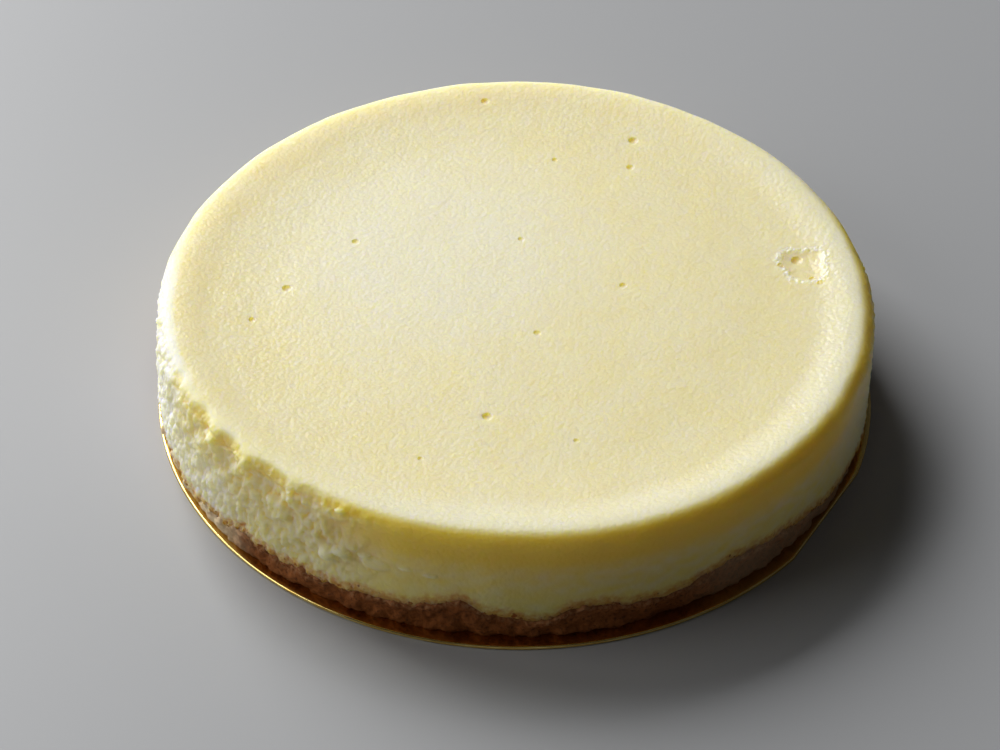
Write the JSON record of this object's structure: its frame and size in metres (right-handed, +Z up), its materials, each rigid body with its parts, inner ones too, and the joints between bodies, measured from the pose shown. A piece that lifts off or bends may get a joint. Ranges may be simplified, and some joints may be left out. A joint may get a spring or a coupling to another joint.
{
  "type": "no-bake cheesecake",
  "caption": "Round set cheesecake with a dished pale top, rolled rim and torn side, on a pressed crumb base and a thin gold card.",
  "frame": {"origin": "middle of the underside of the gold card", "axes": "+Z is up, through the middle of the cake. The torn patch of the side faces -X and -Y, and the crater in the top is towards +X."},
  "size_m": [0.182, 0.182, 0.0322],
  "materials": {
    "gold_card": "gold foil over board",
    "crumb_base": "pressed biscuit crumb",
    "cheese_filling": "moist set cream"
  },
  "bodies": {
    "root": {"gold_card": "gold_card", "crumb_base": "crumb_base", "cheese_filling": "cheese_filling"}
  },
  "joints": []
}
